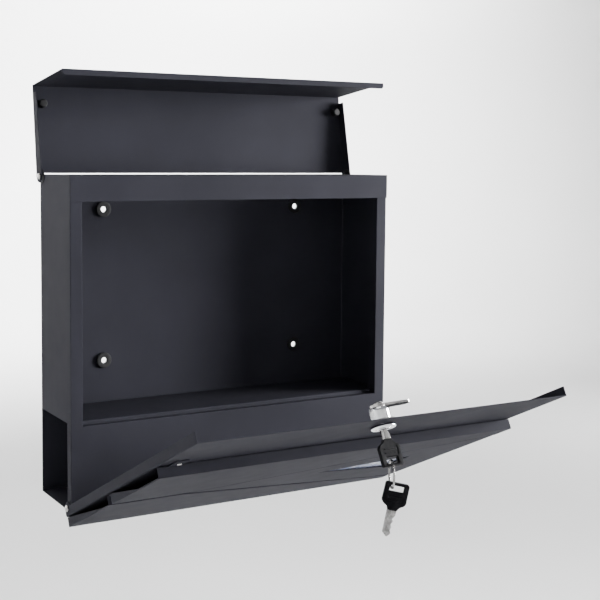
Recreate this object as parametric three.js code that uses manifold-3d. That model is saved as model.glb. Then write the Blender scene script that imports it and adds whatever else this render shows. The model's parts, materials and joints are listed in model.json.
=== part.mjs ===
// A wall mounted mailbox in bent steel sheet: a box with an open front and a
// newspaper slot under it, a hinged lid, and a hinged front door with a cam lock.
// Millimetres, +Z up, the front faces -Y and the wall is at y = 0.
import * as THREE from "three";
import { mergeVertices } from "three/addons/utils/BufferGeometryUtils.js";
import Module from "manifold-3d";

// ---- driving dimensions ----
const SHEET = 1; // steel sheet
const GAP = 0.3; // between pieces that touch
const HALF_WIDTH = 180; // body, outside
const DEPTH = 83; // wall to front face
const TOP = 318.5; // top face above the tray's underside
const BAND_BOTTOM = 294; // front band of the top cover
const SLOT_TOP = 84; // newspaper slot, open at both sides
const CORNER_FLANGE = 10; // side flange of the front below the slot's top
const STILE = 12; // front stile beside the opening
const STILE_RETURN = 12;
const SILL = 81.7; // lower edge of the opening
const SILL_RETURN = 7;
const HEAD = 298; // upper edge of the opening, hidden by the band
const FLOOR_UNDERSIDE = 84.3;
const MAIL_SLOT = { halfWidth: 159, front: 75, back: 22 };

const FIXING_X = 114; // wall fixing holes
const FIXING_HIGH = 283;
const FIXING_LOW = 128;
const GROMMET = { bore: 3, neck: 6, flange: 8, lip: 2 };

const LID_PIVOT = { y: -6, z: 316.8 };
const LID_OPEN = 96.8; // degrees from closed
const LID_RISE = 10.5; // pivot to the lid's outer face
const LID_REACH = 92; // pivot to the bend
const LID_FLAP = 87.6;
const LID_HEM = 6;
const LID_EAR = 8;

const DOOR_PIVOT = { y: -79.5, z: 4 };
const DOOR_OPEN = 64.2; // degrees from closed
const DOOR_FACE = 7; // pivot to the outer face
const DOOR_FOOT = 8.5; // pivot down to the lower edge
const DOOR_HEIGHT = 306;
const DOOR_FLANGE = 9;
const DOOR_EAR = 6.5;
const DOOR_LIP = 5.8; // bottom flange, which stops the door against the tray

const SIDE_PLAY = 1.4; // body side to the inside of the lid's and door's flanges
const WING = HALF_WIDTH + SIDE_PLAY + SHEET; // half width of lid and door
const PIVOT_HOLE = 2;
const RIVET = { shank: 1.6, head: 3.25, dome: 1.8, tail: 2.3 };

const OVERLAY_PROUD = 9.5; // decorative plates over the door
const OVERLAY_HALF = 181.4;

const LOCK_DOWN = 25; // lock axis below the door's top edge
const LOCK = { head: 11, proud: 3.2, barrel: 8.75, back: 7, plug: 6, square: 3.2 };
const CAM = { length: 28, width: 14, thickness: 2, tilt: 12 };

const KEY = {
  headWidth: 20, headLength: 19, headThick: 4.2, corner: 3.5,
  neckWidth: 9, neckLength: 4, bladeWidth: 8, bladeThick: 2.2, bladeLength: 22,
  slotWidth: 12.5, slotHeight: 5.4, bar: 2.2,
};
const KEY_HEAD_OUT = 8.2; // lock face to the inserted key's plastic neck
const RING = { radius: 11.2, wire: 0.8, yaw: 26 };
const SPARE_TILT = 12; // the spare key hangs from one end of its slot

// ---- solids ----
const wasm = await Module();
wasm.setup();

function solid(geometry) {
  const bare = new THREE.BufferGeometry();
  const flat = geometry.index ? geometry.toNonIndexed() : geometry;
  bare.setAttribute("position", flat.getAttribute("position"));
  const merged = mergeVertices(bare, 1e-4);
  return new wasm.Manifold(
    new wasm.Mesh({
      numProp: 3,
      vertProperties: merged.attributes.position.array,
      triVerts: new Uint32Array(merged.index.array),
    }),
  );
}

function geometryOf(manifold) {
  const { numProp, numVert, vertProperties, triVerts } = manifold.getMesh();
  const points = new Float32Array(numVert * 3);
  for (let i = 0; i < numVert; i++) {
    points.set(vertProperties.subarray(i * numProp, i * numProp + 3), i * 3);
  }
  const indexed = new THREE.BufferGeometry();
  indexed.setAttribute("position", new THREE.BufferAttribute(points, 3));
  indexed.setIndex(new THREE.BufferAttribute(triVerts, 1));
  const faceted = indexed.toNonIndexed();
  faceted.computeVertexNormals();
  return faceted;
}

const join = (...parts) => parts.reduce((whole, part) => whole.add(part));
const cut = (whole, ...tools) => tools.reduce((left, tool) => left.subtract(tool), whole);

function box([x0, x1], [y0, y1], [z0, z1]) {
  const geometry = new THREE.BoxGeometry(x1 - x0, y1 - y0, z1 - z0);
  geometry.translate((x0 + x1) / 2, (y0 + y1) / 2, (z0 + z1) / 2);
  return solid(geometry);
}

function outline(points) {
  return new THREE.Shape(points.map(([a, b]) => new THREE.Vector2(a, b)));
}

// Extrusions of an outline drawn in the plane across the named axis.
const BASES = {
  x: [new THREE.Vector3(0, 1, 0), new THREE.Vector3(0, 0, 1), new THREE.Vector3(1, 0, 0)],
  y: [new THREE.Vector3(-1, 0, 0), new THREE.Vector3(0, 0, 1), new THREE.Vector3(0, 1, 0)],
  z: [new THREE.Vector3(1, 0, 0), new THREE.Vector3(0, 1, 0), new THREE.Vector3(0, 0, 1)],
};

function extrude(shape, axis, from, to, curveSegments = 8) {
  const geometry = new THREE.ExtrudeGeometry(shape, {
    depth: to - from,
    bevelEnabled: false,
    curveSegments,
  });
  geometry.translate(0, 0, from);
  geometry.applyMatrix4(new THREE.Matrix4().makeBasis(...BASES[axis]));
  return solid(geometry);
}

// An outline in x and z extruded along y; x is mirrored to keep the basis right-handed.
const extrudeY = (points, from, to) =>
  extrude(outline(points.map(([x, z]) => [-x, z])), "y", from, to);

// A turned piece: [radius, distance] pairs along the named axis, closed on the axis.
function turned(profile, axis, centre, segments = 24) {
  const geometry = new THREE.LatheGeometry(
    profile.map(([r, d]) => new THREE.Vector2(r, d)),
    segments,
  );
  if (axis === "x") geometry.rotateZ(-Math.PI / 2);
  if (axis === "z") geometry.rotateX(Math.PI / 2);
  geometry.translate(...centre);
  const made = solid(geometry);
  return made.volume() < 0 ? solid(flipped(geometry)) : made;
}

function flipped(geometry) {
  const turnedOver = geometry.toNonIndexed();
  const { array } = turnedOver.getAttribute("position");
  for (let i = 0; i < array.length; i += 9) {
    for (let k = 0; k < 3; k++) {
      const second = array[i + 3 + k];
      array[i + 3 + k] = array[i + 6 + k];
      array[i + 6 + k] = second;
    }
  }
  return turnedOver;
}

const rod = (radius, axis, centre, [from, to], segments = 24) =>
  turned([[0, from], [radius, from], [radius, to], [0, to]], axis, centre, segments);

// A ring of rectangular section.
const collar = (inner, outer, axis, centre, [from, to], segments = 24) =>
  turned([[inner, from], [outer, from], [outer, to], [inner, to], [inner, from]], axis, centre, segments);

// ---- materials ----
const paint = (color) => new THREE.MeshStandardMaterial({ color, roughness: 0.5, metalness: 0.35 });
const MATERIALS = {
  body: paint(0x2f2f33),
  lid: paint(0x2c2c30),
  door: paint(0x303034),
  steel: new THREE.MeshStandardMaterial({ color: 0xc8c8cc, roughness: 0.25, metalness: 1 }),
  rubber: new THREE.MeshStandardMaterial({ color: 0x101012, roughness: 0.8, metalness: 0 }),
  plastic: new THREE.MeshStandardMaterial({ color: 0x1c1c1f, roughness: 0.55, metalness: 0 }),
  acrylic: new THREE.MeshStandardMaterial({ color: 0x6b7187, roughness: 0.1, metalness: 0 }),
};

function place(parent, name, material, manifold) {
  const mesh = new THREE.Mesh(geometryOf(manifold), MATERIALS[material]);
  mesh.name = name;
  parent.add(mesh);
  return mesh;
}

const SIDES = [["left", -1], ["right", 1]];
const span = (a, b) => [Math.min(a, b), Math.max(a, b)];

// ---- the box ----
// Front and both sides are one sheet: the side is cut away for the newspaper
// slot, and an ear at the top rear corner carries the lid.
function bodyShell() {
  const front = -DEPTH;
  const rear = -SHEET - GAP;
  const ear = -LID_PIVOT.y + rear;
  const earFoot = Math.sqrt(ear ** 2 - (TOP - LID_PIVOT.z) ** 2);
  const side = outline([
    [front, 0],
    [front + CORNER_FLANGE, 0],
    [front + CORNER_FLANGE, SLOT_TOP],
    [rear, SLOT_TOP],
    [rear, LID_PIVOT.z],
  ]);
  const earEnd = Math.atan2(TOP - LID_PIVOT.z, -earFoot);
  side.absarc(LID_PIVOT.y, LID_PIVOT.z, ear, 0, earEnd, false);
  side.lineTo(front, TOP);
  const opening = HALF_WIDTH - STILE;
  const sheet = cut(
    box([-HALF_WIDTH, HALF_WIDTH], [front, front + SHEET], [0, TOP - SHEET - GAP]),
    box([-opening, opening], [front - 1, front + SHEET + 1], [SILL, HEAD]),
  );
  const returns = SIDES.map(([, s]) =>
    box(span(s * opening, s * (opening + SHEET)), [front, front + STILE_RETURN], [SILL - SHEET, HEAD]),
  );
  const sill = box([-opening, opening], [front, front + SILL_RETURN], [SILL - SHEET, SILL]);
  const sides = SIDES.map(([, s]) =>
    extrude(side, "x", ...span(s * (HALF_WIDTH - SHEET), s * HALF_WIDTH)),
  );
  const across = [-HALF_WIDTH - 1, HALF_WIDTH + 1];
  return cut(
    join(sheet, ...returns, sill, ...sides),
    rod(PIVOT_HOLE, "x", [0, LID_PIVOT.y, LID_PIVOT.z], across),
    rod(PIVOT_HOLE, "x", [0, DOOR_PIVOT.y, DOOR_PIVOT.z], across),
  );
}

const FIXINGS = SIDES.flatMap(([side, s]) => [
  [`${side}_upper`, s * FIXING_X, FIXING_HIGH],
  [`${side}_lower`, s * FIXING_X, FIXING_LOW],
]);

function backPanel() {
  return cut(
    box([-HALF_WIDTH, HALF_WIDTH], [-SHEET, 0], [0, TOP]),
    ...FIXINGS.map(([, x, z]) => rod(GROMMET.neck + GAP, "y", [x, 0, z], [-SHEET - 1, 1])),
  );
}

// A rubber grommet fills each fixing hole, with its wide lip inside the box.
const grommet = (x, z) =>
  turned(
    [
      [GROMMET.bore, 0],
      [GROMMET.bore, -SHEET - GAP - GROMMET.lip],
      [GROMMET.flange, -SHEET - GAP - GROMMET.lip],
      [GROMMET.flange, -SHEET - GAP],
      [GROMMET.neck, -SHEET - GAP],
      [GROMMET.neck, 0],
      [GROMMET.bore, 0],
    ],
    "y",
    [x, 0, z],
    20,
  );

// The top plate and the front band are one bent sheet, notched at the back for
// the lid's rivets.
function topCover() {
  const front = -DEPTH - GAP - SHEET;
  const inside = HALF_WIDTH - SHEET - GAP;
  const plate = box([-inside, inside], [front, -SHEET - GAP], [TOP - SHEET, TOP]);
  const band = box([-HALF_WIDTH, HALF_WIDTH], [front, front + SHEET], [BAND_BOTTOM, TOP]);
  const slot = box(
    [-MAIL_SLOT.halfWidth, MAIL_SLOT.halfWidth],
    [-MAIL_SLOT.front, -MAIL_SLOT.back],
    [TOP - SHEET - 1, TOP + 1],
  );
  const notches = SIDES.map(([, s]) =>
    box(span(s * (inside - 4), s * (inside + 1)), [LID_PIVOT.y - 5, 0], [TOP - SHEET - 1, TOP + 1]),
  );
  return cut(join(plate, band), slot, ...notches);
}

// The floor has a down-turned flange at the sill and one at the back.
function compartmentFloor() {
  const half = HALF_WIDTH - SHEET - GAP;
  const front = -DEPTH + SILL_RETURN + GAP;
  const rear = -SHEET - GAP;
  const top = FLOOR_UNDERSIDE + SHEET;
  const x = [-half, half];
  const sillHalf = HALF_WIDTH - STILE - GAP;
  return join(
    box([-sillHalf, sillHalf], [front, front + SHEET], [top - 12, top]),
    box([-sillHalf, sillHalf], [front, rear], [FLOOR_UNDERSIDE, top]),
    box(x, [-DEPTH + STILE_RETURN + GAP, rear], [FLOOR_UNDERSIDE, top]),
    box(x, [rear - SHEET, rear], [top - 9, top]),
  );
}

// The tray closes the newspaper slot from below.
function newspaperTray() {
  const narrow = HALF_WIDTH - SHEET - GAP;
  const upturn = HALF_WIDTH - 10;
  const front = -DEPTH + SHEET + GAP;
  const rear = -SHEET - GAP;
  return join(
    box([-narrow, narrow], [front, rear], [0, SHEET]),
    box([-HALF_WIDTH, HALF_WIDTH], [-DEPTH + CORNER_FLANGE + GAP, rear], [0, SHEET]),
    box([-upturn, upturn], [front, front + SHEET], [0, 8]),
    box([-HALF_WIDTH, HALF_WIDTH], [rear - SHEET, rear], [0, 4.5]),
  );
}

// ---- pivots ----
// A domed rivet runs through flange, washer and body side, and is closed inside.
function pivotRivet(s, y, z) {
  const outer = WING + GAP;
  const inner = HALF_WIDTH - SHEET - GAP;
  const dome = [3, 2, 1, 0].map((k) => {
    const angle = (k / 3) * (Math.PI / 2);
    return [RIVET.head * Math.cos(angle), outer + 0.4 + RIVET.dome * Math.sin(angle)];
  });
  const profile = [
    [0, inner - 1],
    [RIVET.tail, inner - 1],
    [RIVET.tail, inner],
    [RIVET.shank, inner],
    [RIVET.shank, outer],
    [RIVET.head, outer],
    ...dome.reverse().map(([r, d]) => [Math.max(r, 0), d]),
  ];
  profile[profile.length - 1][0] = 0;
  return turned(profile.map(([r, d]) => [r, s * d]), "x", [0, y, z], 20);
}

const pivotWasher = (s, y, z, radius) =>
  collar(PIVOT_HOLE, radius, "x", [0, y, z], span(s * (HALF_WIDTH + GAP), s * (HALF_WIDTH + 1.1)));

// ---- the lid, drawn closed about its pivot ----
function lidSheet() {
  const front = -LID_REACH;
  const inner = LID_RISE - SHEET;
  const foot = LID_RISE - LID_FLAP;
  const x = [-WING, WING];
  const earY = -2;
  const earZ = LID_RISE - LID_EAR;
  const flange = outline([[front + 8, LID_RISE], [front + 8, LID_RISE - 9.5], [earY, earZ - LID_EAR]]);
  flange.absarc(earY, earZ, LID_EAR, -Math.PI / 2, Math.PI / 2, false);
  const flanges = SIDES.map(([, s]) => extrude(flange, "x", ...span(s * (WING - SHEET), s * WING), 14));
  const hem = new THREE.Shape();
  const reach = front + LID_HEM;
  const corner = 3;
  hem.moveTo(-WING, front);
  hem.lineTo(WING, front);
  hem.lineTo(WING, reach - corner);
  hem.absarc(WING - corner, reach - corner, corner, 0, Math.PI / 2, false);
  hem.lineTo(-WING + corner, reach);
  hem.absarc(-WING + corner, reach - corner, corner, Math.PI / 2, Math.PI, false);
  return cut(
    join(
      box(x, [front, -4], [inner, LID_RISE]),
      box(x, [front, front + SHEET], [foot, LID_RISE]),
      extrude(hem, "z", foot, foot + SHEET),
      ...flanges,
    ),
    rod(PIVOT_HOLE, "x", [0, 0, 0], [-WING - 1, WING + 1]),
  );
}

// Rubber buffers under the lid come down on the top plate.
const lidBumper = (s) => {
  const y = -73;
  const low = TOP - LID_PIVOT.z + GAP;
  const high = LID_RISE - SHEET - GAP;
  return turned(
    [[0, low], [3.4, low], [4.3, low + 1], [4.3, high], [0, high]],
    "z",
    [s * 174, y, 0],
    20,
  );
};

// ---- the door, drawn closed about its pivot ----
const doorZ = (down) => DOOR_HEIGHT - DOOR_FOOT - down; // height of a point below the top edge

function doorPanel() {
  const face = -DOOR_FACE;
  const x = [-WING, WING];
  const flangeEdge = face + DOOR_FLANGE;
  const lip = face + DOOR_LIP;
  const flange = outline([[face, doorZ(0)], [face, -DOOR_FOOT], [lip, -DOOR_FOOT]]);
  const start = -Math.PI / 2 + Math.asin(lip / DOOR_EAR);
  const end = Math.acos(flangeEdge / DOOR_EAR);
  flange.absarc(0, 0, DOOR_EAR, start, end, false);
  flange.lineTo(flangeEdge, doorZ(0));
  const flanges = SIDES.map(([, s]) => extrude(flange, "x", ...span(s * (WING - SHEET), s * WING), 12));
  const holes = TABS.map(([, tx, down]) => rod(1.5, "y", [tx, 0, doorZ(down)], [face - 1, face + SHEET + 1], 16));
  return cut(
    join(
      box(x, [face, face + SHEET], [-DOOR_FOOT, doorZ(0)]),
      box(x, [face, lip], [-DOOR_FOOT, -DOOR_FOOT + SHEET]),
      ...flanges,
    ),
    rod(PIVOT_HOLE, "x", [0, 0, 0], [-WING - 1, WING + 1]),
    rod(LOCK.barrel + GAP, "y", [0, 0, doorZ(LOCK_DOWN)], [face - 1, face + SHEET + 1], 32),
    ...holes,
  );
}

// Decorative plates: outlines as x and the distance below the door's top edge.
const TOP_PLATE = [[-OVERLAY_HALF, 80], [OVERLAY_HALF, 80], [OVERLAY_HALF, 105], [-100, 187], [-OVERLAY_HALF, 187]];
const RIGHT_PLATE = [[-107, 190], [OVERLAY_HALF, 106.2], [OVERLAY_HALF, 290]];
const LOWER_PLATE = [
  [-OVERLAY_HALF, 194], [-113, 194], [OVERLAY_HALF, 293], [OVERLAY_HALF, 305], [-OVERLAY_HALF, 305],
];
const WINDOW = [[27, 185], [122, 164], [122, 215]];
const TABS = [["top", -166, 71, 12, 16], ["lower", -175, 190, 10, 6]];

// Moves each edge of a convex outline inwards.
function inset(points, distance) {
  const centre = points
    .reduce(([a, b], [x, y]) => [a + x, b + y], [0, 0])
    .map((sum) => sum / points.length);
  const lines = points.map(([x, y], i) => {
    const [x2, y2] = points[(i + 1) % points.length];
    const length = Math.hypot(x2 - x, y2 - y);
    let normal = [(y2 - y) / length, (x - x2) / length];
    if ((centre[0] - x) * normal[0] + (centre[1] - y) * normal[1] < 0) normal = normal.map((n) => -n);
    return [...normal, normal[0] * x + normal[1] * y + distance];
  });
  return lines.map(([a, b, c], i) => {
    const [d, e, f] = lines[(i + lines.length - 1) % lines.length];
    const det = a * e - b * d;
    return [(c * e - b * f) / det, (a * f - c * d) / det];
  });
}

// A folded plate: a face 9.5 mm in front of the door with walls back to it. On
// the left side the wall is a tapered flap, so the plate's upper end is open.
function overlay(points, flapFrom) {
  const outer = -DOOR_FACE - OVERLAY_PROUD;
  const foot = -DOOR_FACE - GAP;
  const drawn = (list) => list.map(([x, down]) => [x, doorZ(down)]);
  const shell = cut(
    extrudeY(drawn(points), outer, foot),
    extrudeY(drawn(inset(points, SHEET)), outer + SHEET, foot + 1),
  );
  if (flapFrom === undefined) return shell;
  const first = points[0][1];
  const last = points[points.length - 1][1];
  const open = outline([
    [foot + 1, doorZ(first + SHEET)],
    [outer + SHEET, doorZ(first + SHEET)],
    [outer + SHEET, doorZ(flapFrom)],
    [foot, doorZ(last - SHEET)],
    [foot + 1, doorZ(last - SHEET)],
  ]);
  return cut(shell, extrude(open, "x", -OVERLAY_HALF - 1, -OVERLAY_HALF + SHEET + 0.5));
}

// A small tab on the plate's top edge is riveted to the door.
function tab([, x, down, width, height]) {
  const foot = -DOOR_FACE - GAP;
  const top = down - height / 2;
  const side = [x - width / 2, x + width / 2];
  return cut(
    box(side, [foot - SHEET, foot], [doorZ(down + height / 2 + 1.5), doorZ(top)]),
    rod(1.5, "y", [x, 0, doorZ(down)], [foot - SHEET - 1, foot + 1], 16),
  );
}

function tabRivet([, x, down]) {
  const outer = -DOOR_FACE - 2 * GAP - SHEET;
  const inner = -DOOR_FACE + SHEET + GAP;
  return turned(
    [[0, outer - 1.1], [1.2, outer - 0.9], [2.2, outer], [1.2, outer], [1.2, inner], [2, inner], [2, inner + 0.8], [0, inner + 0.8]],
    "y",
    [x, 0, doorZ(down)],
    16,
  );
}

const windowTool = (distance, from, to) =>
  extrudeY(inset(WINDOW, distance).map(([x, down]) => [x, doorZ(down)]), from, to);

const overlayOuter = -DOOR_FACE - OVERLAY_PROUD;

function rightOverlay() {
  return cut(overlay(RIGHT_PLATE), windowTool(0, overlayOuter - 1, overlayOuter + SHEET + 1));
}

const windowPane = () =>
  windowTool(-3, overlayOuter + SHEET + GAP, overlayOuter + SHEET + GAP + 2);

// ---- the lock, on the door, with its axis along y ----
const LOCK_FACE = -DOOR_FACE - LOCK.proud;
const CAM_FRONT = LOCK.back + 0.9;

function lockBody() {
  const seat = -DOOR_FACE - GAP;
  const bore = LOCK.plug + GAP;
  return turned(
    [
      [bore, LOCK_FACE],
      [LOCK.head - 1, LOCK_FACE],
      [LOCK.head, LOCK_FACE + 0.8],
      [LOCK.head, seat],
      [LOCK.barrel, seat],
      [LOCK.barrel, LOCK.back],
      [bore, LOCK.back],
      [bore, LOCK_FACE],
    ],
    "y",
    [0, 0, 0],
    32,
  );
}

function lockNut() {
  const front = -DOOR_FACE + SHEET + GAP;
  const corners = [...Array(6).keys()].map((k) => [
    13 * Math.cos((k * Math.PI) / 3),
    13 * Math.sin((k * Math.PI) / 3),
  ]);
  return cut(
    extrudeY(corners, front, front + 3),
    rod(LOCK.barrel + GAP, "y", [0, 0, 0], [front - 1, front + 4], 32),
  );
}

// The plug turns in the body; the key enters its slot and the cam sits on its square end.
function lockPlug() {
  const front = LOCK_FACE - 0.3;
  const keyway = [(KEY.bladeWidth + 2 * GAP) / 2, (KEY.bladeThick + 2 * GAP) / 2];
  const square = [-LOCK.square, LOCK.square];
  return cut(
    join(
      rod(LOCK.plug, "y", [0, 0, 0], [front, CAM_FRONT - GAP], 32),
      box(square, [LOCK.back, CAM_FRONT + CAM.thickness], square),
    ),
    box([-keyway[0], keyway[0]], [front - 1, LOCK_FACE + KEY.bladeLength - 7], [-keyway[1], keyway[1]]),
    rod(1.5, "y", [0, 0, 0], [CAM_FRONT - 2, CAM_FRONT + CAM.thickness + 1], 16),
  );
}

function lockCam() {
  const half = CAM.width / 2;
  const tip = 4;
  const shape = new THREE.Shape();
  shape.absarc(0, 0, half + 1, Math.PI / 3, (Math.PI * 5) / 3, false);
  shape.lineTo(CAM.length - tip, -half + 1.5);
  shape.absarc(CAM.length - tip, -half + 1.5 + tip, tip, -Math.PI / 2, 0, false);
  shape.lineTo(CAM.length, half - 1.5 - tip);
  shape.absarc(CAM.length - tip, half - 1.5 - tip, tip, 0, Math.PI / 2, false);
  const tilt = THREE.MathUtils.degToRad(CAM.tilt);
  const turn = ({ x, y }) => [x * Math.cos(tilt) - y * Math.sin(tilt), x * Math.sin(tilt) + y * Math.cos(tilt)];
  const points = shape.getPoints(10).map(turn);
  const hole = LOCK.square + GAP;
  return cut(
    extrudeY(points, CAM_FRONT, CAM_FRONT + CAM.thickness),
    box([-hole, hole], [CAM_FRONT - 1, CAM_FRONT + CAM.thickness + 1], [-hole, hole]),
  );
}

function camScrew() {
  const seat = CAM_FRONT + CAM.thickness + GAP;
  return turned(
    [[0, CAM_FRONT - 1.6], [1.2, CAM_FRONT - 1.6], [1.2, seat], [4.6, seat], [4.2, seat + 1.6], [2.4, seat + 2.3], [0, seat + 2.3]],
    "y",
    [0, 0, 0],
    20,
  );
}

// ---- keys: drawn with the blade along +y from the neck, width along x ----
function keyHead() {
  const half = KEY.headWidth / 2;
  const near = -KEY.neckLength;
  const far = near - KEY.headLength;
  const r = KEY.corner;
  const shape = new THREE.Shape();
  shape.moveTo(-KEY.neckWidth / 2, 0);
  shape.lineTo(-KEY.neckWidth / 2, near);
  shape.absarc(-half + r, near - r, r, Math.PI / 2, Math.PI, false);
  shape.absarc(-half + r, far + r, r, Math.PI, 1.5 * Math.PI, false);
  shape.absarc(half - r, far + r, r, -Math.PI / 2, 0, false);
  shape.absarc(half - r, near - r, r, 0, Math.PI / 2, false);
  shape.lineTo(KEY.neckWidth / 2, near);
  shape.lineTo(KEY.neckWidth / 2, 0);
  const slotFar = far + KEY.bar;
  const slot = box(
    [-KEY.slotWidth / 2, KEY.slotWidth / 2],
    [slotFar, slotFar + KEY.slotHeight],
    [-KEY.headThick, KEY.headThick],
  );
  const socket = box(
    [-KEY.bladeWidth / 2 - GAP, KEY.bladeWidth / 2 + GAP],
    [-KEY.neckLength - 3 - GAP, 1],
    [-KEY.bladeThick / 2 - GAP, KEY.bladeThick / 2 + GAP],
  );
  return cut(extrude(shape, "z", -KEY.headThick / 2, KEY.headThick / 2, 5), slot, socket);
}

function keyBlade() {
  const half = KEY.bladeWidth / 2;
  const length = KEY.bladeLength;
  const bits = [[4, 0.4], [7, 2.2], [9, 1.2], [11.5, 2.6], [14, 1.4], [16.5, 2.3], [19, 1]];
  const shape = outline([
    [-half, -KEY.neckLength - 3],
    [half, -KEY.neckLength - 3],
    ...bits.map(([y, depth]) => [half - depth, y]),
    [0.6, length],
    [-0.6, length],
    [-half, length - 3],
  ]);
  return extrude(shape, "z", -KEY.bladeThick / 2, KEY.bladeThick / 2);
}

const ringWire = () => solid(new THREE.TorusGeometry(RING.radius, RING.wire, 8, 40));

// ---- assembly ----
const mailbox = new THREE.Group();
mailbox.name = "wall_mailbox";
const frame = new THREE.Group(); // heights above the tray's underside
frame.position.z = -(FIXING_HIGH + FIXING_LOW) / 2; // the origin is the middle of the fixing holes
mailbox.add(frame);

place(frame, "body_shell", "body", bodyShell());
place(frame, "back_panel", "body", backPanel());
place(frame, "top_cover", "body", topCover());
place(frame, "compartment_floor", "body", compartmentFloor());
place(frame, "newspaper_tray", "body", newspaperTray());
for (const [where, x, z] of FIXINGS) {
  place(frame, `wall_grommet_${where}`, "rubber", grommet(x, z));
}
for (const [side, s] of SIDES) {
  for (const [owner, pivot, radius] of [["lid", LID_PIVOT, 7.5], ["door", DOOR_PIVOT, 5.5]]) {
    place(frame, `${owner}_rivet_${side}`, "steel", pivotRivet(s, pivot.y, pivot.z));
    place(frame, `${owner}_washer_${side}`, "rubber", pivotWasher(s, pivot.y, pivot.z, radius));
  }
}

const lid = new THREE.Group();
lid.position.set(0, LID_PIVOT.y, LID_PIVOT.z);
lid.rotation.x = THREE.MathUtils.degToRad(-LID_OPEN);
frame.add(lid);
place(lid, "lid", "lid", lidSheet());
for (const [side, s] of SIDES) {
  place(lid, `lid_bumper_${side}`, "rubber", lidBumper(s));
}

const door = new THREE.Group();
door.position.set(0, DOOR_PIVOT.y, DOOR_PIVOT.z);
door.rotation.x = THREE.MathUtils.degToRad(DOOR_OPEN);
frame.add(door);
place(door, "door_panel", "door", doorPanel());
place(door, "overlay_top", "door", join(overlay(TOP_PLATE, 127), tab(TABS[0])));
place(door, "overlay_right", "door", rightOverlay());
place(door, "overlay_lower", "door", join(overlay(LOWER_PLATE, 210), tab(TABS[1])));
place(door, "window_pane", "acrylic", windowPane());
for (const entry of TABS) {
  place(door, `overlay_rivet_${entry[0]}`, "steel", tabRivet(entry));
}

const lock = new THREE.Group();
lock.position.set(0, 0, doorZ(LOCK_DOWN));
door.add(lock);
place(lock, "lock_body", "steel", lockBody());
place(lock, "lock_nut", "steel", lockNut());
place(lock, "lock_plug", "steel", lockPlug());
place(lock, "lock_cam", "steel", lockCam());
place(lock, "cam_screw", "steel", camScrew());

// The key in the lock, with its plastic neck in front of the lock's face.
const key = new THREE.Group();
key.position.y = LOCK_FACE - KEY_HEAD_OUT;
lock.add(key);
place(key, "key_head", "plastic", keyHead());
place(key, "key_blade", "steel", keyBlade());

// The ring hangs upright through the slot in the key's head.
const slotMiddle = -KEY.neckLength - KEY.headLength + KEY.bar + KEY.slotHeight / 2;
frame.updateMatrixWorld(true);
const hook = frame.worldToLocal(key.localToWorld(new THREE.Vector3(0, slotMiddle, 0)));
const ring = new THREE.Group();
ring.position.copy(hook);
ring.rotation.z = THREE.MathUtils.degToRad(-RING.yaw);
frame.add(ring);
const wire = place(ring, "key_ring", "steel", ringWire());
wire.position.z = -RING.radius;
wire.rotation.y = Math.PI / 2;

// The spare key hangs on the ring from one end of its slot.
const spare = new THREE.Group();
spare.position.z = -2 * RING.radius;
spare.rotation.y = THREE.MathUtils.degToRad(SPARE_TILT);
ring.add(spare);
const spareKey = new THREE.Group();
spareKey.rotation.x = -Math.PI / 2;
spareKey.position.set(KEY.slotWidth / 2 - RING.wire - 1, 0, slotMiddle);
spare.add(spareKey);
place(spareKey, "spare_key_head", "plastic", keyHead());
place(spareKey, "spare_key_blade", "steel", keyBlade());

export default mailbox;
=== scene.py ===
import json
import math

import bmesh
import bpy
from mathutils import Matrix, Vector


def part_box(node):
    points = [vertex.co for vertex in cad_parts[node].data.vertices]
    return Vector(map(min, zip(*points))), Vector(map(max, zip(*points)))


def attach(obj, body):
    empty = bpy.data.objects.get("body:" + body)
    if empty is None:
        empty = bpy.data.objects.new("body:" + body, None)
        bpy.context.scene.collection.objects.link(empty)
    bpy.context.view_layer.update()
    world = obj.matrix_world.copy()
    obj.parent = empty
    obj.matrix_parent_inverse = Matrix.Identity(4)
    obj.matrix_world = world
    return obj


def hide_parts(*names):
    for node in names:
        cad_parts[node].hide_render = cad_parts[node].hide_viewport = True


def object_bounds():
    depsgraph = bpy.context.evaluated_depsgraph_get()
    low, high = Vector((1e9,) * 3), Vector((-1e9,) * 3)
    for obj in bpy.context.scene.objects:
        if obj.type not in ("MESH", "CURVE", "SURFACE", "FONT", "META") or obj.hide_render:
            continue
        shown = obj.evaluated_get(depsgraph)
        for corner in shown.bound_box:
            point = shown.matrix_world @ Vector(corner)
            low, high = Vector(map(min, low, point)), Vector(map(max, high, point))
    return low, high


# A wall mounted mailbox of powder coated sheet steel. Metres, +Z up, the front
# faces -Y. The CAD frame gives each piece its place and outer size. Sheets, the
# lock's cam and the key blades are the CAD shapes with rounded edges, turned
# pieces are lathed to fit theirs, and the nut, key heads and ring are made anew.
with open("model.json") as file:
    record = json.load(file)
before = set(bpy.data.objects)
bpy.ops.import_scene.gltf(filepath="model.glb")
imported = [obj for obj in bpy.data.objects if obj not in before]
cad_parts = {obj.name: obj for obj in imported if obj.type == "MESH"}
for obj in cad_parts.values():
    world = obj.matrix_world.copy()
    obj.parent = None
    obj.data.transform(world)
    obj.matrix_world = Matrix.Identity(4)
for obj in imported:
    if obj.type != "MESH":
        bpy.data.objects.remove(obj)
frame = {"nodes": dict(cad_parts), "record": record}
CAD_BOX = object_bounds()

MM = 0.001
RECORD = frame["record"]
BODY_OF = {node: body for body, nodes in RECORD["behaviour"]["bodies"].items() for node in nodes}
SLOT_OF = {part["node"]: part["material_slot"] for part in RECORD["subparts"]}
JOINTS = {joint["name"]: joint for joint in RECORD["behaviour"]["joints"]}
SIDES = {"left": -1, "right": 1}
ACROSS = Vector((1, 0, 0))
DOOR_OUT = Vector(JOINTS["lock_turn"]["axis"])  # away from the opened door's outer face

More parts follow.
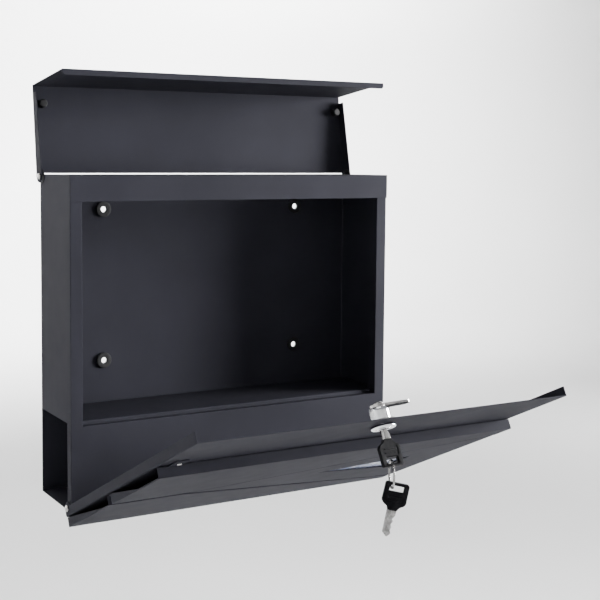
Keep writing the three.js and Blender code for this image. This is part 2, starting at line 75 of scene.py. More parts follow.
# ---- camera ----
CAMERA_PLACE = (-0.5438, -1.0675, 0.1254)
CAMERA_TURN = (85.907, -0.284, -28.596)  # degrees
CAMERA_LENS = 67.35
CAMERA_SHIFT = (0.11, -0.095)


def make_camera():
    data = bpy.data.cameras.new("camera")
    data.sensor_width = 36
    data.lens = CAMERA_LENS
    data.shift_x, data.shift_y = CAMERA_SHIFT
    camera = bpy.data.objects.new("camera", data)
    camera.location = CAMERA_PLACE
    camera.rotation_euler = [math.radians(angle) for angle in CAMERA_TURN]
    bpy.context.scene.collection.objects.link(camera)
    bpy.context.scene.camera = camera


# ---- materials ----
# A noise pattern stays near its middle, so these parts of its range carry the change.
TINT_SPAN, ROUGH_SPAN = (0.35, 0.65), (0.3, 0.7)


def shader(name, metallic=0.0, specular=0.5):
    made = bpy.data.materials.new(name)
    made.use_nodes = True
    principled = made.node_tree.nodes["Principled BSDF"]
    principled.inputs["Metallic"].default_value = metallic
    principled.inputs["Specular IOR Level"].default_value = specular
    return made


def grain(made, scale, detail=2.0, stretch=(1, 1, 1)):
    """A noise pattern fixed to the piece, with scale as features per metre."""
    nodes, links = made.node_tree.nodes, made.node_tree.links
    place = nodes.new("ShaderNodeTexCoord")
    mapping = nodes.new("ShaderNodeMapping")
    mapping.inputs["Scale"].default_value = stretch
    noise = nodes.new("ShaderNodeTexNoise")
    noise.inputs["Scale"].default_value = scale
    noise.inputs["Detail"].default_value = detail
    links.new(place.outputs["Object"], mapping.inputs["Vector"])
    links.new(mapping.outputs["Vector"], noise.inputs["Vector"])
    return noise.outputs["Fac"]


def tint(made, pattern, dark, light):
    """The base colour runs from dark to light over the pattern."""
    ramp = made.node_tree.nodes.new("ShaderNodeValToRGB")
    for stop, position, colour in zip(ramp.color_ramp.elements, TINT_SPAN, (dark, light)):
        stop.position = position
        stop.color = (*colour, 1)
    base = made.node_tree.nodes["Principled BSDF"].inputs["Base Color"]
    made.node_tree.links.new(pattern, ramp.inputs["Fac"])
    made.node_tree.links.new(ramp.outputs["Color"], base)


def roughen(made, pattern, smooth, rough):
    """The roughness runs from smooth to rough over the pattern."""
    span = made.node_tree.nodes.new("ShaderNodeMapRange")
    for end, value in zip(("From Min", "From Max", "To Min", "To Max"), (*ROUGH_SPAN, smooth, rough)):
        span.inputs[end].default_value = value
    target = made.node_tree.nodes["Principled BSDF"].inputs["Roughness"]
    made.node_tree.links.new(pattern, span.inputs["Value"])
    made.node_tree.links.new(span.outputs["Result"], target)


def emboss(made, layers):
    """Bumps in layers of (pattern, height in metres), each over the one before."""
    under = None
    for pattern, height in layers:
        bump = made.node_tree.nodes.new("ShaderNodeBump")
        bump.inputs["Distance"].default_value = height
        made.node_tree.links.new(pattern, bump.inputs["Height"])
        if under:
            made.node_tree.links.new(under, bump.inputs["Normal"])
        under = bump.outputs["Normal"]
    made.node_tree.links.new(under, made.node_tree.nodes["Principled BSDF"].inputs["Normal"])


def powder_coat():
    made = shader("powder_coat", specular=0.03)
    tint(made, grain(made, 9, detail=5), (0.0170, 0.0170, 0.0222), (0.0215, 0.0215, 0.0280))
    roughen(made, grain(made, 60, detail=4), 0.66, 0.72)
    emboss(made, [(grain(made, 300), 0.000008), (grain(made, 1300), 0.00002)])
    return made


def bright_steel():
    made = shader("bright_steel", metallic=1.0)
    tint(made, grain(made, 220, detail=4), (0.27, 0.265, 0.26), (0.50, 0.49, 0.48))
    roughen(made, grain(made, 900, stretch=(0.08, 1, 1)), 0.16, 0.30)
    emboss(made, [(grain(made, 2600, stretch=(0.06, 1, 1)), 0.000006)])
    return made


def chrome():
    made = shader("chrome", metallic=1.0)
    tint(made, grain(made, 120, detail=3), (0.74, 0.75, 0.77), (0.86, 0.86, 0.87))
    roughen(made, grain(made, 400, detail=4), 0.05, 0.14)
    emboss(made, [(grain(made, 350), 0.000004)])
    return made


def black_rubber():
    made = shader("black_rubber", specular=0.2)
    tint(made, grain(made, 180, detail=4), (0.005, 0.005, 0.006), (0.011, 0.011, 0.012))
    roughen(made, grain(made, 500, detail=3), 0.55, 0.75)
    emboss(made, [(grain(made, 2200, detail=3), 0.00003)])
    return made


def black_plastic():
    made = shader("black_plastic", specular=0.04)
    tint(made, grain(made, 240, detail=4), (0.004, 0.004, 0.005), (0.009, 0.009, 0.010))
    roughen(made, grain(made, 700, detail=3), 0.46, 0.60)
    emboss(made, [(grain(made, 3200, detail=2), 0.00002)])
    return made


def tinted_acrylic():
    made = shader("tinted_acrylic", specular=0.05)
    tint(made, grain(made, 14, detail=3), (0.080, 0.098, 0.160), (0.110, 0.130, 0.210))
    roughen(made, grain(made, 90, detail=3), 0.18, 0.26)
    emboss(made, [(grain(made, 25), 0.00001)])
    return made


def floor_paint():
    made = shader("floor_paint", specular=0.2)
    tint(made, grain(made, 2, detail=3), (0.80, 0.80, 0.80), (0.83, 0.83, 0.83))
    roughen(made, grain(made, 8), 0.85, 0.95)
    return made


FINISHES = {
    "anthracite_paint": powder_coat(),
    "bright_steel": bright_steel(),
    "chrome": chrome(),
    "black_rubber": black_rubber(),
    "black_plastic": black_plastic(),
    "tinted_acrylic": tinted_acrylic(),
}


# ---- making pieces ----
def piece_of(mesh, name, nodes):
    """A shown piece that stands for its CAD nodes, on their body and in their finish."""
    data = bpy.data.meshes.new(name)
    mesh.to_mesh(data)
    mesh.free()
    piece = bpy.data.objects.new(name, data)
    bpy.context.scene.collection.objects.link(piece)
    slot = SLOT_OF[nodes[0]]
    piece.data.materials.append(FINISHES[slot])
    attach(piece, BODY_OF[nodes[0]])
    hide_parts(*nodes)
    return piece


WELD = 1e-6  # corners closer than this become one
FLAT = math.radians(0.4)  # faces closer to one plane than this are joined
SHARP = math.radians(25)  # an edge flatter than this isn't rounded
WIDE = 2 * MM  # a face narrower than this is the cut edge of a sheet
FACET = 4 * MM * MM  # the wall of a round hole is made of faces smaller than this
BEVEL_STEPS = 3
CORNER_SHARE = 0.45  # the most of a side that one rounded corner may take


def width_of(face):
    return face.calc_area() / max(edge.calc_length() for edge in face.edges)


def edge_radius(edge, cut, outer, inner):
    """Cut edges are deburred, and a bend has one radius outside and another inside."""
    if edge.calc_face_angle(0) < SHARP:
        return 0
    if min(width_of(face) for face in edge.link_faces) < WIDE:
        return cut
    return outer if edge.is_convex else inner


def flatten(mesh):
    """Joins the faces that lie in one plane."""
    bmesh.ops.dissolve_limit(mesh, angle_limit=FLAT, verts=mesh.verts, edges=mesh.edges)


def clean_copy(node):
    """The node's shape as a bmesh with its flat faces whole again."""
    mesh = bmesh.new()
    data = frame["nodes"][node].data
    corners = [mesh.verts.new(vertex.co) for vertex in data.vertices]
    for polygon in data.polygons:
        mesh.faces.new([corners[i] for i in polygon.vertices])
    bmesh.ops.remove_doubles(mesh, verts=mesh.verts, dist=WELD)
    flatten(mesh)
    return mesh


def in_order(things):
    """Each thing once, in the order it first comes, so that every run is the same."""
    return list(dict.fromkeys(things))


def small_neighbours(face, small):
    around = in_order(other for edge in face.edges for other in edge.link_faces)
    return [other for other in around if other is not face and other in small]


def hole_walls(mesh):
    """The groups of small faces that close into a ring: one group for each round hole."""
    small = {face for face in mesh.faces if face.calc_area() < FACET}
    walls, seen = [], set()
    for start in mesh.faces:
        if start not in small or start in seen:
            continue
        seen.add(start)
        queue, group, closed = [start], [], True
        while queue:
            face = queue.pop()
            group.append(face)
            near = small_neighbours(face, small)
            closed = closed and len(near) == 2
            for other in near:
                if other not in seen:
                    seen.add(other)
                    queue.append(other)
        if closed:
            walls.append(group)
    return walls


def close_holes(mesh):
    """Fills the round holes and returns each one's middle, axis and radius."""
    holes = []
    for group in hole_walls(mesh):
        wall = next(edge for face in group for edge in face.edges if set(edge.link_faces) <= set(group))
        axis = (wall.verts[1].co - wall.verts[0].co).normalized()
        corners = in_order(vertex for face in group for vertex in face.verts)
        middle = sum((vertex.co for vertex in corners), Vector()) / len(corners)
        first = corners[0].co - middle
        holes.append((middle, axis, (first - axis * first.dot(axis)).length))
        rims = [[], []]
        for vertex in corners:
            rims[(vertex.co - middle).dot(axis) > 0].append(vertex)
        for rim in rims:
            centre = sum((vertex.co for vertex in rim), Vector()) / len(rim)
            bmesh.ops.pointmerge(mesh, verts=rim, merge_co=centre)
    loose = [edge for edge in mesh.edges if not edge.link_faces]
    bmesh.ops.delete(mesh, geom=loose, context="EDGES")
    flatten(mesh)
    return holes


def settle(piece):
    """Applies the piece's modifiers."""
    whole = bpy.context.evaluated_depsgraph_get()
    made = bpy.data.meshes.new_from_object(piece.evaluated_get(whole))
    piece.modifiers.clear()
    piece.data = made


def carve(piece, mesh, operation="DIFFERENCE"):
    """Cuts the mesh out of the piece, or joins or intersects the two."""
    data = bpy.data.meshes.new(f"{piece.name}_tool")
    mesh.to_mesh(data)
    mesh.free()
    tool = bpy.data.objects.new(f"{piece.name}_tool", data)
    bpy.context.scene.collection.objects.link(tool)
    boolean = piece.modifiers.new("carve", "BOOLEAN")
    boolean.operation = operation
    boolean.solver = "EXACT"
    boolean.object = tool
    settle(piece)
    bpy.data.objects.remove(tool)
    bpy.data.meshes.remove(data)


def drill(piece, holes):
    """Cuts the round holes through the piece with fine-sided drills."""
    reach = 3 * MM
    mesh = bmesh.new()
    for middle, axis, radius in holes:
        place = Matrix.Translation(middle) @ axis.to_track_quat("Z", "Y").to_matrix().to_4x4()
        lathe(mesh, [(0, -reach), (radius, -reach), (radius, reach), (0, reach)], place)
    carve(piece, mesh)


def shade(piece):
    """Keeps the large faces flat and lets the rounded edges run smoothly between them."""
    for polygon in piece.data.polygons:
        polygon.use_smooth = True
    shading = piece.modifiers.new("flat_faces", "WEIGHTED_NORMAL")
    shading.weight = 100


def formed(name, node, cut, outer, inner):
    """The node's shape with its edges rounded by the given radii."""
    mesh = clean_copy(node)
    holes = close_holes(mesh)
    largest = max(cut, outer)
    weight = mesh.edges.layers.float.new("bevel_weight_edge")
    for edge in mesh.edges:
        edge[weight] = edge_radius(edge, cut, outer, inner) / largest
    for face in mesh.faces:
        face.smooth = True
    piece = piece_of(mesh, name, [node])
    bevel = piece.modifiers.new("rounded_edges", "BEVEL")
    bevel.limit_method = "WEIGHT"
    bevel.width = largest
    bevel.segments = BEVEL_STEPS
    bevel.loop_slide = False
    settle(piece)
    if holes:
        drill(piece, holes)
    shade(piece)
    return piece


def rounded(points, radius, closed=True, steps=3):
    """The outline with an arc at each corner; the ends of an open outline stay."""
    count = len(points)
    result = []
    for i, point in enumerate(points):
        here = Vector(point)
        if not closed and i in (0, count - 1):
            result.append(here)
            continue
        back = Vector(points[i - 1]) - here
        on = Vector(points[(i + 1) % count]) - here
        half = back.angle(on) / 2
        reach = min(radius / math.tan(half), CORNER_SHARE * back.length, CORNER_SHARE * on.length)
        start, end = here + back.normalized() * reach, here + on.normalized() * reach
        middle = here + (back.normalized() + on.normalized()).normalized() * reach / math.cos(half)
        size = (start - middle).length
        for k in range(steps + 1):
            result.append(middle + (start - middle).lerp(end - middle, k / steps).normalized() * size)
    return result


def lathe(mesh, profile, place, closed=False, segments=48):
    """Adds the (radius, height) profile, spun about the z axis of place."""
    rings = []
    for i in range(segments):
        turn = Matrix.Rotation(2 * math.pi * i / segments, 4, "Z")
        rings.append([mesh.verts.new(place @ turn @ Vector((r, 0, h))) for r, h in profile])
    steps = len(profile) if closed else len(profile) - 1
    for i in range(segments):
        here, there = rings[i], rings[(i + 1) % segments]
        for k in range(steps):
            j = (k + 1) % len(profile)
            mesh.faces.new((here[k], there[k], there[j], here[j]))
    bmesh.ops.remove_doubles(mesh, verts=mesh.verts, dist=WELD)
    bmesh.ops.dissolve_degenerate(mesh, edges=mesh.edges, dist=WELD)
    bmesh.ops.recalc_face_normals(mesh, faces=mesh.faces)
    for face in mesh.faces:
        face.smooth = True


def prism(outline, low, high, place, edge=0.0, steps=2):
    """The (x, y) outline pulled from z low to high in place, its two rims rounded."""
    mesh = bmesh.new()
    count = len(outline)
    base = [mesh.verts.new((x, y, low)) for x, y in outline]
    top = [mesh.verts.new((x, y, high)) for x, y in outline]
    ends = [mesh.faces.new(base), mesh.faces.new(top)]
    rims = [rim for end in ends for rim in end.edges]
    for i in range(count):
        j = (i + 1) % count
        mesh.faces.new((base[i], base[j], top[j], top[i]))
    if edge:
        bmesh.ops.bevel(mesh, geom=rims, offset=edge, segments=steps, profile=0.5, affect="EDGES")
    bmesh.ops.recalc_face_normals(mesh, faces=mesh.faces)
    mesh.transform(place)
    return mesh


def rectangle(low_x, high_x, low_y, high_y, radius):
    return rounded([(low_x, low_y), (high_x, low_y), (high_x, high_y), (low_x, high_y)], radius)


def spun(profile, place, closed=False, segments=48):
    """A new mesh lathed about the z axis of place."""
    mesh = bmesh.new()
    lathe(mesh, profile, place, closed, segments)
    return mesh


def turned(name, node, profile, place, closed=False):
    """A piece lathed about the z axis of place."""
    return piece_of(spun(profile, place, closed), name, [node])


def frame_at(origin, x, y):
    """A matrix whose x and y axes point along the given directions."""
    x, y = Vector(x).normalized(), Vector(y).normalized()
    turn = Matrix((x, y, x.cross(y))).transposed().to_4x4()
    return Matrix.Translation(origin) @ turn


def extent(node, place):
    """The node's lowest and highest corners in the axes of place."""
    back = place.inverted()
    points = [back @ vertex.co for vertex in frame["nodes"][node].data.vertices]
    low = Vector([min(point[k] for point in points) for k in range(3)])
    high = Vector([max(point[k] for point in points) for k in range(3)])
    return low, high


def place_at(node, x, y):
    """Axes along x and y, with their origin at the middle of the node's extent in them."""
    place = frame_at((0, 0, 0), x, y)
    low, high = extent(node, place)
    return place @ Matrix.Translation((low + high) / 2)


# ---- sheet steel ----
# Radii in millimetres of the cut edges and of each bend's outside and inside. A
# sheet whose bends run on as cut edges has one radius all along.
SOFT_BENDS, TIGHT_BENDS, EVEN_EDGES = (0.18, 1.3, 0.35), (0.18, 0.56, 0.3), (0.32, 0.32, 0.32)
SHEETS = {
    "body_shell": TIGHT_BENDS,
    "back_panel": TIGHT_BENDS,
    "top_cover": TIGHT_BENDS,
    "compartment_floor": SOFT_BENDS,
    "newspaper_tray": TIGHT_BENDS,
    "lid": EVEN_EDGES,
    "door_panel": SOFT_BENDS,
    "overlay_top": EVEN_EDGES,
    "overlay_right": SOFT_BENDS,
    "overlay_lower": EVEN_EDGES,
    "window_pane": (0.25, 0.25, 0.25),
}


def make_sheets():
    for node, radii in SHEETS.items():
        formed(f"{node}_sheet", node, *(radius * MM for radius in radii))


# ---- pivots and wall fixings ----
DOME_STEPS = 8


def sideways(node, side):
    """Axes at the node's middle, with z pointing out of that side of the box."""
    return place_at(node, (0, 1, 0), (0, 0, side))


def rivet_profile(low, high, head, dome, shank, tail, tail_height):
    """A round head on a shank that is spread at its low end."""
    seat = high - dome
    brim = 0.2 * dome
    spread = [(0, low), (tail, low), (tail, low + tail_height), (shank, low + tail_height)]
    profile = rounded(spread, 0.25 * tail_height, closed=False)
    profile += [(shank, seat), (head, seat), (head, seat + brim)]
    for k in range(1, DOME_STEPS + 1):
        angle = k / DOME_STEPS * math.pi / 2
        profile.append((head * math.cos(angle), seat + brim + (dome - brim) * math.sin(angle)))
    return profile


def make_rivet(owner, side):
    """The pivot of the lid or the door on one side."""
    node = f"{owner}_rivet_{side}"
    place = sideways(node, SIDES[side])
    low, high = extent(node, place)
    dome, shank, tail, tail_height = 2.2 * MM, 1.6 * MM, 2.3 * MM, 1 * MM
    profile = rivet_profile(low.z, high.z, high.y, dome, shank, tail, tail_height)
    turned(f"{node}_turned", node, profile, place)


def make_tab_rivet(plate):
    """The rivet that holds the tab of one of the door's folded plates."""
    node = f"overlay_rivet_{plate}"
    place = place_at(node, ACROSS, DOOR_OUT.cross(ACROSS))
    low, high = extent(node, place)
    dome, shank, tail, tail_height = 1.1 * MM, 1.2 * MM, 2 * MM, 0.8 * MM
    profile = rivet_profile(low.z, high.z, high.x, dome, shank, tail, tail_height)
    turned(f"{node}_turned", node, profile, place)


def make_washer(owner, side):
    """The washer on a pivot."""
    node = f"{owner}_washer_{side}"
    place = sideways(node, SIDES[side])
    low, high = extent(node, place)
    bore, edge = 2 * MM, 0.25 * MM
    section = [(bore, low.z), (high.y, low.z), (high.y, high.z), (bore, high.z)]
    turned(f"{node}_turned", node, rounded(section, edge), place, closed=True)


def make_grommet(node):
    """A rubber ring in a hole of the back panel, with its flange inside the box."""
    low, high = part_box(node)
    middle = (low + high) / 2
    place = frame_at((middle.x, high.y, middle.z), ACROSS, (0, 0, 1))
    deep = high.y - low.y
    flange = (high.x - low.x) / 2
    bore, neck, edge = 3 * MM, 6 * MM, 0.7 * MM
    lip = deep - 2 * MM
    section = [(bore, 0), (bore, deep), (flange, deep), (flange, lip), (neck, lip), (neck, 0)]
    turned(f"{node}_turned", node, rounded(section, edge, steps=4), place, closed=True)


def make_bumper(side):
    """The rubber buffer under the lid: a plain button with a rounded foot."""
    node = f"lid_bumper_{side}"
    opened = math.radians(-JOINTS["lid_hinge"]["range_deg"][1])
    up = Matrix.Rotation(opened, 3, "X") @ Vector((0, 0, 1))  # upwards when the lid is closed
    place = place_at(node, ACROSS, up.cross(ACROSS))
    low, high = extent(node, place)
    width = high.x
    foot, bevel_height, edge = width - 0.9 * MM, 1.2 * MM, 0.5 * MM
    profile = [(0, low.z), (foot, low.z), (width, low.z + bevel_height), (width, high.z), (0, high.z)]
    turned(f"{node}_turned", node, rounded(profile, edge, closed=False), place)


# ---- the lock: z of LOCK_PLACE points out of the door ----
LOCK_PLACE = frame_at(JOINTS["lock_turn"]["pos_m"], ACROSS, DOOR_OUT.cross(ACROSS))
PLAY = 0.3 * MM  # the clearance around the plug, the barrel and a key's blade
BARREL, PLUG, SQUARE = 8.75 * MM, 6 * MM, 3.2 * MM
PITCH, THREAD_DEPTH = 1 * MM, 0.35 * MM
BLADE_WIDTH, BLADE_THICK = 8 * MM, 2.2 * MM
PAN_HEAD = ((0.95, 0.5), (0.75, 0.15), (0.4, 0))  # shares of the screw head's radius and height


def threads(radius, start, end):
    """Thread ridges down a barrel, from start to the lower end."""
    count = int((start - end) / PITCH)
    points = []
    for k in range(count):
        crest = start - k * PITCH
        points += [(radius, crest), (radius - THREAD_DEPTH, crest - PITCH / 2)]
    return points


def make_lock_body():
    """The head with a groove around its face, and the barrel with a thread and two flats."""
    node = "lock_body"
    low, high = extent(node, LOCK_PLACE)
    bore, head, front, back = PLUG + PLAY, high.x, high.z, low.z
    chamfer, seat = 1 * MM, 7.3 * MM
    groove, groove_depth = 0.35 * MM, 0.25 * MM
    middle = (bore + head) / 2
    profile = [
        (bore, front - groove),
        (bore + groove, front),
        (middle - 2 * groove, front),
        (middle - groove, front - groove_depth),
        (middle + groove, front - groove_depth),
        (middle + 2 * groove, front),
        (head - chamfer, front),
        (head, front - chamfer),
        (head, seat),
        (BARREL, seat),
        *threads(BARREL, seat - PITCH, back + PITCH / 2),
        (BARREL - THREAD_DEPTH, back),
        (bore, back),
    ]
    body = turned("lock_body_turned", node, profile, LOCK_PLACE, closed=True)
    flat, reach = 7.9 * MM, 12 * MM
    for side in SIDES.values():
        wide = sorted((side * flat, side * reach))
        carve(body, prism(rectangle(*wide, -reach, reach, 0), back - PITCH, seat - PITCH, LOCK_PLACE))
    shade(body)


def make_lock_nut():
    """A hexagon nut with its corners turned down and its bore chamfered."""
    node = "lock_nut"
    low, high = extent(node, LOCK_PLACE)
    corner, bore, chamfer = high.x, BARREL + PLAY, 0.5 * MM
    angles = [k * math.pi / 3 for k in range(6)]
    corners = [(corner * math.cos(angle), corner * math.sin(angle)) for angle in angles]
    hexagon = prism(rounded(corners, chamfer), low.z, high.z, LOCK_PLACE)
    nut = piece_of(hexagon, "lock_nut_milled", [node])
    flat_share, drop = 0.85, 0.9 * MM
    flat = flat_share * corner
    blank = [
        (0, low.z),
        (flat, low.z),
        (corner, low.z + drop),
        (corner, high.z - drop),
        (flat, high.z),
        (0, high.z),
    ]
    carve(nut, spun(blank, LOCK_PLACE), "INTERSECT")
    hole = [
        (0, low.z - chamfer),
        (bore + 2 * chamfer, low.z - chamfer),
        (bore, low.z + chamfer),
        (bore, high.z - chamfer),
        (bore + 2 * chamfer, high.z + chamfer),
        (0, high.z + chamfer),
    ]
    carve(nut, spun(hole, LOCK_PLACE))
    shade(nut)


def make_plug():
    """The plug with the key's slot in its face and a square end for the cam."""
    node = "lock_plug"
    low, high = extent(node, LOCK_PLACE)
    edge, square_length, slot_depth, slot_corner = 0.4 * MM, 2.1 * MM, 15.3 * MM, 0.2 * MM
    shoulder = low.z + square_length
    profile = [
        (0, shoulder),
        (PLUG, shoulder),
        (PLUG, high.z - edge),
        (PLUG - edge, high.z),
        (0, high.z),
    ]
    plug = turned("lock_plug_turned", node, profile, LOCK_PLACE)
    square = rectangle(-SQUARE, SQUARE, -SQUARE, SQUARE, edge)
    carve(plug, prism(square, low.z, shoulder + edge, LOCK_PLACE), "UNION")
    half_width, half_height = BLADE_WIDTH / 2 + PLAY, BLADE_THICK / 2 + PLAY
    slot = rectangle(-half_width, half_width, -half_height, half_height, slot_corner)
    carve(plug, prism(slot, high.z - slot_depth, high.z + edge, LOCK_PLACE))
    bore, bore_depth = 1.5 * MM, 4 * MM
    start, end = low.z - edge, low.z + bore_depth
    carve(plug, spun([(0, start), (bore, start), (bore, end), (0, end)], LOCK_PLACE))
    shade(plug)


def make_lock_cam():
    edge = 0.3 * MM
    formed("lock_cam_stamped", "lock_cam", edge, edge, edge)


def make_cam_screw():
    """A pan head screw with a cross recess."""
    node = "cam_screw"
    low, high = extent(node, LOCK_PLACE)
    head, shank, head_height, edge = high.x, 1.2 * MM, 2.3 * MM, 0.25 * MM
    seat = low.z + head_height
    profile = [
        (0, high.z),
        (shank - edge, high.z),
        (shank, high.z - edge),
        (shank, seat),
        (head - edge, seat),
        (head, seat - edge),
        *((out * head, low.z + up * head_height) for out, up in PAN_HEAD),
        (0, low.z),
    ]
    screw = turned("cam_screw_turned", node, profile, LOCK_PLACE)
    half, arm, deep = 0.45 * MM, 2.3 * MM, 1.2 * MM
    for wide, long in ((half, arm), (arm, half)):
        recess = rectangle(-wide, wide, -long, long, edge)
        carve(screw, prism(recess, low.z - edge, low.z + deep, LOCK_PLACE))
    shade(screw)


# ---- keys: drawn from the neck with the blade along +y ----
NECK_HALF, NECK_LENGTH, SHOULDER, HEAD_CORNER = 4.5 * MM, 4 * MM, 2.6 * MM, 1.8 * MM
SLOT_HALF, SLOT_HEIGHT, SLOT_BAR, SLOT_CORNER = 6.25 * MM, 5.4 * MM, 2.2 * MM, 0.6 * MM
RIB_PLACES = (0.3, 0.7)  # shares of the grip panel's length
SPARE_TILT = math.radians(12)


def key_outline(half, far):
    """The moulded head: a neck, sloped shoulders and rounded far corners."""
    right = [
        (NECK_HALF, 0),
        (NECK_HALF, -NECK_LENGTH),
        (half - SHOULDER, -NECK_LENGTH),
        (half, -NECK_LENGTH - SHOULDER),
        (half, far),
    ]
    left = [(-x, y) for x, y in reversed(right)]
    return rounded(right + left, HEAD_CORNER)


def sink(piece, outline, face, depth, place):
    """Cuts the outline to the given depth into the faces at z of -face and face."""
    for side in SIDES.values():
        span = sorted((side * (face - depth), side * 2 * face))
        carve(piece, prism(outline, *span, place))


def make_grip(head, half, thick, slot_near, place):
    """A sunk panel on each face of the key's head, with two ribs across it."""
    rim, sunk, rib, rib_edge = 2.1 * MM, 0.45 * MM, 0.6 * MM, 0.25 * MM
    slot_margin = 0.6 * rim
    near, far = -NECK_LENGTH - rim, slot_near + slot_margin
    sink(head, rectangle(rim - half, half - rim, far, near, rim / 2), thick, sunk, place)
    for share in RIB_PLACES:
        middle = far + share * (near - far)
        bar = rectangle(2 * rim - half, half - 2 * rim, middle - rib, middle + rib, rib)
        carve(head, prism(bar, -thick, thick, place, edge=rib_edge), "UNION")


def make_socket(head, blade_node, place):
    """The space inside the head for the end of the blade."""
    corner = 0.1 * MM
    half_width, half_height = BLADE_WIDTH / 2 + PLAY, BLADE_THICK / 2 + PLAY
    end = extent(blade_node, place)[0].y - PLAY
    socket = rectangle(-half_width, half_width, end, NECK_LENGTH, corner)
    carve(head, prism(socket, -half_height, half_height, place))


def make_blade(node, place):
    """The blade with a milled groove down each face."""
    edge = 0.15 * MM
    blade = formed(f"{node}_milled", node, edge, edge, edge)
    blade.modifiers.clear()
    low, high = extent(node, place)
    left, right, deep, corner, tip = -2.4 * MM, -0.9 * MM, 0.6 * MM, 0.4 * MM, 2 * MM
    groove = rectangle(left, right, low.y / 4, high.y - tip, corner)
    sink(blade, groove, high.z, deep, place)
    shade(blade)


def make_key(head_node, blade_node, x, y):
    """A black moulded head on a milled blade, lying along the given directions."""
    place = place_at(head_node, x, y)
    place = place @ Matrix.Translation((0, extent(head_node, place)[1].y, 0))
    low, high = extent(head_node, place)
    far, half, thick, edge = low.y, high.x, high.z, 0.6 * MM
    moulding = prism(key_outline(half, far), -thick, thick, place, edge, steps=3)
    head = piece_of(moulding, f"{head_node}_moulded", [head_node])
    slot_far = far + SLOT_BAR
    slot_near = slot_far + SLOT_HEIGHT
    slot = rectangle(-SLOT_HALF, SLOT_HALF, slot_far, slot_near, SLOT_CORNER)
    carve(head, prism(slot, -2 * thick, 2 * thick, place))
    make_grip(head, half, thick, slot_near, place)
    make_socket(head, blade_node, place)
    shade(head)
    make_blade(blade_node, place)


def make_ring():
    """A split ring: nearly two turns of flat wire with one jog between them."""
    node = "key_ring"
    axis = Vector(JOINTS["ring_swing"]["axis"])
    place = place_at(node, (0, 0, 1), axis.cross((0, 0, 1)))
    high = extent(node, place)[1]
    wire = high.z
    radius = high.x - wire
    between, corner, flat_share = 0.02 * MM, 0.2 * MM, 0.85
    across, tall, gap = wire / 2 - between, flat_share * wire, wire / 2
    section = rectangle(-tall, tall, -across, across, corner)
    turns, jog_start, jog_end, steps = 1.9, 0.9, 1.0, 190
    mesh = bmesh.new()
    loops = []
    for i in range(steps + 1):
        turn = turns * i / steps
        share = min(max((turn - jog_start) / (jog_end - jog_start), 0), 1)
        height = gap * (share * share * (6 - 4 * share) - 1)  # smoothly from -gap to gap
        angle = 2 * math.pi * turn
        out = Vector((math.cos(angle), math.sin(angle), 0))
        loops.append([
            mesh.verts.new(place @ (out * (radius + x) + Vector((0, 0, height + y)))) for x, y in section
        ])
    for here, there in zip(loops, loops[1:]):
        for k in range(len(section)):
            j = (k + 1) % len(section)
            mesh.faces.new((here[k], here[j], there[j], there[k]))
    mesh.faces.new(loops[0])
    mesh.faces.new(loops[-1])
    bmesh.ops.recalc_face_normals(mesh, faces=mesh.faces)
    shade(piece_of(mesh, "key_ring_coiled", [node]))


# ---- staging ----
FLOOR_DROP, FLOOR_RADIUS, SWEEP, WALL_HEIGHT = 0.35, 3.0, 1.2, 3.2
SWEEP_STEPS = 12
SKY_COLOUR, SKY_STRENGTH = (0.96, 0.98, 1.0, 1), 0.38
# Each light on the mailbox: its place, size, power in watts and spread in degrees.
LIGHTS = {
    "key_light": ((2.1, -0.9, 0.25), 1.0, 52, 70),
    "side_light": ((-2.0, 0.6, 0.5), 1.2, 3, 180),
    "edge_light": ((2.4, 0.8, 0.4), 0.8, 30, 180),
    "top_light": ((-0.2, 0.4, 2.3), 1.4, 10, 180),
}
# The light on the wall behind it, one on each side: x, y and z of its place and target.
WALL_LIGHT_PLACE, WALL_LIGHT_TARGET = (1.9, 2.3, 2.5), (1.5, 4.2, 0.2)
WALL_LIGHT_SIZE, WALL_LIGHT_POWER, WALL_LIGHT_SPREAD = 1.0, 220, 110


def aim(thing, target):
    thing.rotation_euler = (Vector(target) - thing.location).to_track_quat("-Z", "Y").to_euler()


def make_light(name, place, target, size, power, spread):
    data = bpy.data.lights.new(name, "AREA")
    data.shape = "DISK"
    data.size = size
    data.energy = power
    data.spread = math.radians(spread)
    light = bpy.data.objects.new(name, data)
    light.location = place
    light.visible_camera = False
    aim(light, target)
    bpy.context.scene.collection.objects.link(light)


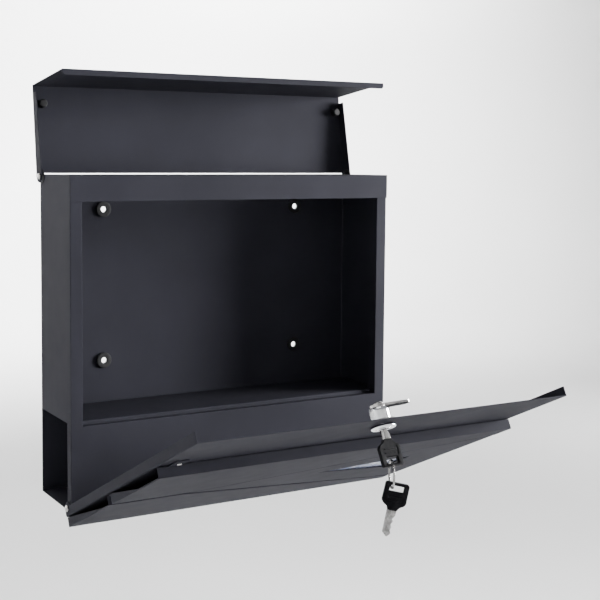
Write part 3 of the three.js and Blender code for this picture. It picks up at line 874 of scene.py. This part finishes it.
def make_floor():
    """A round pale floor that sweeps up into a wall all the way round."""
    floor_z = CAD_BOX[0].z - FLOOR_DROP
    profile = [(0, floor_z), (FLOOR_RADIUS, floor_z)]
    for k in range(1, SWEEP_STEPS + 1):
        angle = k / SWEEP_STEPS * math.pi / 2
        profile.append((FLOOR_RADIUS + SWEEP * math.sin(angle), floor_z + SWEEP * (1 - math.cos(angle))))
    profile.append((FLOOR_RADIUS + SWEEP, floor_z + WALL_HEIGHT))
    mesh = spun(profile, Matrix.Identity(4), segments=96)
    data = bpy.data.meshes.new("studio_floor")
    mesh.to_mesh(data)
    mesh.free()
    data.materials.append(floor_paint())
    floor = bpy.data.objects.new("studio_floor", data)
    bpy.context.scene.collection.objects.link(floor)


def make_sky():
    world = bpy.data.worlds.new("studio_world")
    world.use_nodes = True
    sky = world.node_tree.nodes["Background"]
    sky.inputs["Color"].default_value = SKY_COLOUR
    sky.inputs["Strength"].default_value = SKY_STRENGTH
    bpy.context.scene.world = world


def make_lights():
    box_middle = (CAD_BOX[0] + CAD_BOX[1]) / 2
    for name, (place, size, power, spread) in LIGHTS.items():
        make_light(name, place, box_middle, size, power, spread)
    for name, side in SIDES.items():
        place, target = ((side * x, y, z) for x, y, z in (WALL_LIGHT_PLACE, WALL_LIGHT_TARGET))
        size, power, spread = WALL_LIGHT_SIZE, WALL_LIGHT_POWER, WALL_LIGHT_SPREAD
        make_light(f"wall_light_{name}", place, target, size, power, spread)


# ---- the scene ----
make_camera()
make_floor()
make_sky()
make_lights()
make_sheets()
for side_name in SIDES:
    for owner_name in ("lid", "door"):
        make_rivet(owner_name, side_name)
        make_washer(owner_name, side_name)
    make_bumper(side_name)
    for level_name in ("upper", "lower"):
        make_grommet(f"wall_grommet_{side_name}_{level_name}")
for plate_name in ("top", "lower"):
    make_tab_rivet(plate_name)
make_lock_body()
make_lock_nut()
make_plug()
make_lock_cam()
make_cam_screw()
make_key("key_head", "key_blade", ACROSS, -DOOR_OUT)
ring_axis = Vector(JOINTS["ring_swing"]["axis"])
tilt = Matrix.Rotation(SPARE_TILT, 3, Vector(JOINTS["spare_key_swing"]["axis"]))
make_key("spare_key_head", "spare_key_blade", tilt @ ring_axis, tilt @ Vector((0, 0, -1)))
make_ring()

for node_name, node_object in frame["nodes"].items():
    node_object.data.materials.clear()
    node_object.data.materials.append(FINISHES[SLOT_OF[node_name]])
